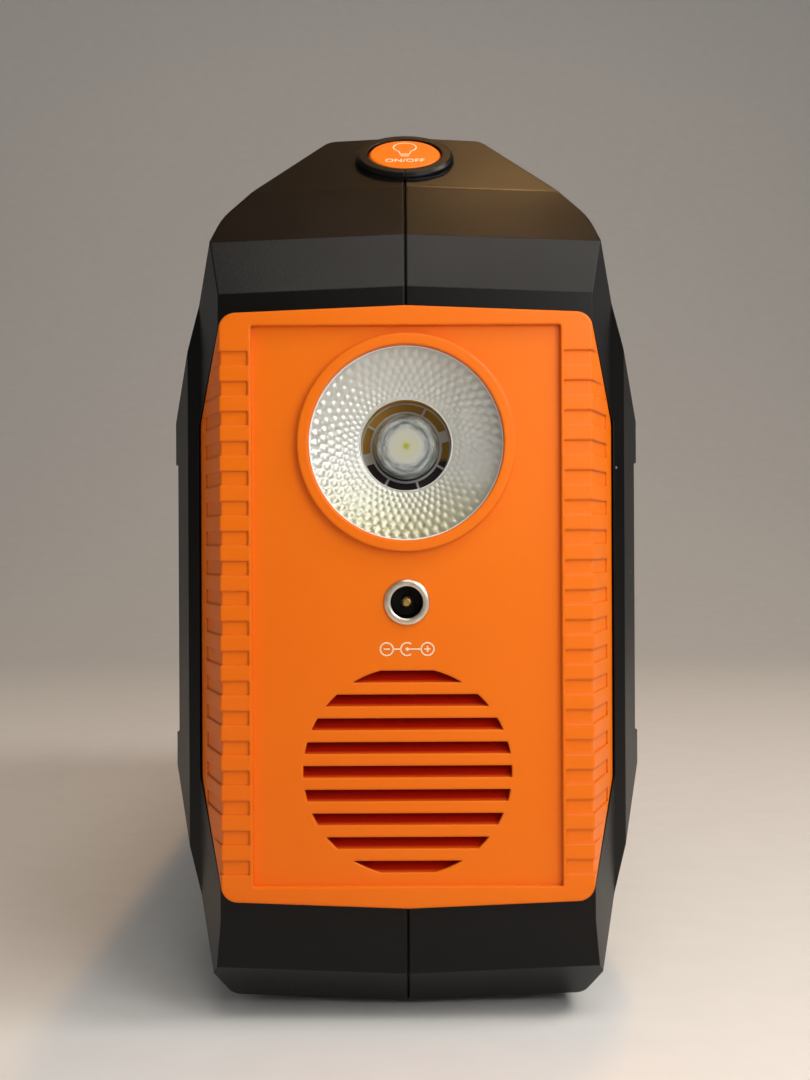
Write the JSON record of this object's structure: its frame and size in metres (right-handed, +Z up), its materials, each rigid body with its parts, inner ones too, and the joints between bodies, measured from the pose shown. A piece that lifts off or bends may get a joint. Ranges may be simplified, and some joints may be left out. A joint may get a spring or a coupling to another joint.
{
  "type": "jump starter pack",
  "caption": "Lantern-shaped jump starter pack: split housing with a top handle, ribbed end caps, LED lamp, charging socket and louvred grille at one end, covered outlets at the other.",
  "frame": {"origin": "on the floor, under the middle of the pack", "axes": "+Z up, Y along the pack with the lamp end at -Y, X across it"},
  "size_m": [0.1, 0.23, 0.1873],
  "materials": {
    "shell_black": "fine moulded texture, satin",
    "cap_orange": "smooth moulded, semi-gloss",
    "lens_clear": "clear",
    "reflector_silver": "bright metallised",
    "led_yellow": "satin",
    "nickel": "bright plated",
    "black_plastic": "matte",
    "white_plastic": "satin",
    "steel_screw": "zinc plated",
    "aluminium_sink": "satin",
    "circuit_board": "solder mask green",
    "battery_block": "matte, as a moulded case",
    "foam_pad": "foam",
    "brass_contact": "plated",
    "red_wire": "satin",
    "black_wire": "satin",
    "cover_rubber": "matte",
    "foot_rubber": "matte",
    "button_orange": "satin",
    "smoked_window": "gloss"
  },
  "bodies": {
    "pack": {"left_shell": "shell_black", "right_shell": "shell_black", "front_cap": "cap_orange", "rear_cap": "cap_orange", "lamp_lens": "lens_clear", "lamp_reflector": "reflector_silver", "lamp_core": "lens_clear", "lamp_core_carrier": "white_plastic", "led_board": "white_plastic", "led_emitter": "led_yellow", "lamp_heat_sink": "aluminium_sink", "lamp_screws": "steel_screw", "lamp_lead": "red_wire", "dc_jack_sleeve": "nickel", "dc_jack_core": "black_plastic", "dc_jack_pin": "nickel", "dc_jack_nut": "nickel", "charge_lead": "black_wire", "light_switch": "black_plastic", "light_switch_board": "circuit_board", "light_board_screws": "steel_screw", "display_window": "smoked_window", "display_module": "black_plastic", "control_board": "circuit_board", "control_switches": "black_plastic", "control_screws": "steel_screw", "battery_case": "battery_block", "battery_terminals": "brass_contact", "battery_pads": "foam_pad", "positive_lead": "red_wire", "negative_lead": "black_wire", "main_board": "circuit_board", "board_screws": "steel_screw", "board_relay": "black_plastic", "board_capacitors": "aluminium_sink", "board_heat_sink": "aluminium_sink", "jump_socket": "black_plastic", "jump_contacts": "brass_contact", "socket_cover_pin": "steel_screw", "usb_ports": "nickel", "usb_tongues": "black_plastic", "usb_board": "circuit_board", "usb_screws": "steel_screw", "usb_cover_pin": "steel_screw", "rubber_feet": "foot_rubber", "shell_screws": "steel_screw"},
    "light_key": {"light_button": "button_orange"},
    "power_key": {"power_button": "button_orange"},
    "boost_key": {"boost_button": "button_orange"},
    "socket_flap": {"socket_cover": "cover_rubber"},
    "usb_flap": {"usb_cover": "cover_rubber"}
  },
  "joints": [
    {"name": "light_press", "type": "slide", "parent": "pack", "child": "light_key", "axis": [0, 0.6376, -0.7704], "range_m": [0, 0.0012], "stiffness_N_per_m": 800, "springref_m": -0.0005},
    {"name": "power_press", "type": "slide", "parent": "pack", "child": "power_key", "axis": [-1, 0, 0], "range_m": [0, 0.0008], "stiffness_N_per_m": 800, "springref_m": -0.0005},
    {"name": "boost_press", "type": "slide", "parent": "pack", "child": "boost_key", "axis": [-1, 0, 0], "range_m": [0, 0.0008], "stiffness_N_per_m": 800, "springref_m": -0.0005},
    {"name": "socket_cover_hinge", "type": "hinge", "parent": "pack", "child": "socket_flap", "pos_m": [0, 0.1126, 0.1155], "axis": [1, 0, 0], "range_deg": [0, 100]},
    {"name": "usb_cover_hinge", "type": "hinge", "parent": "pack", "child": "usb_flap", "pos_m": [0, 0.1126, 0.0736], "axis": [1, 0, 0], "range_deg": [0, 100]}
  ]
}
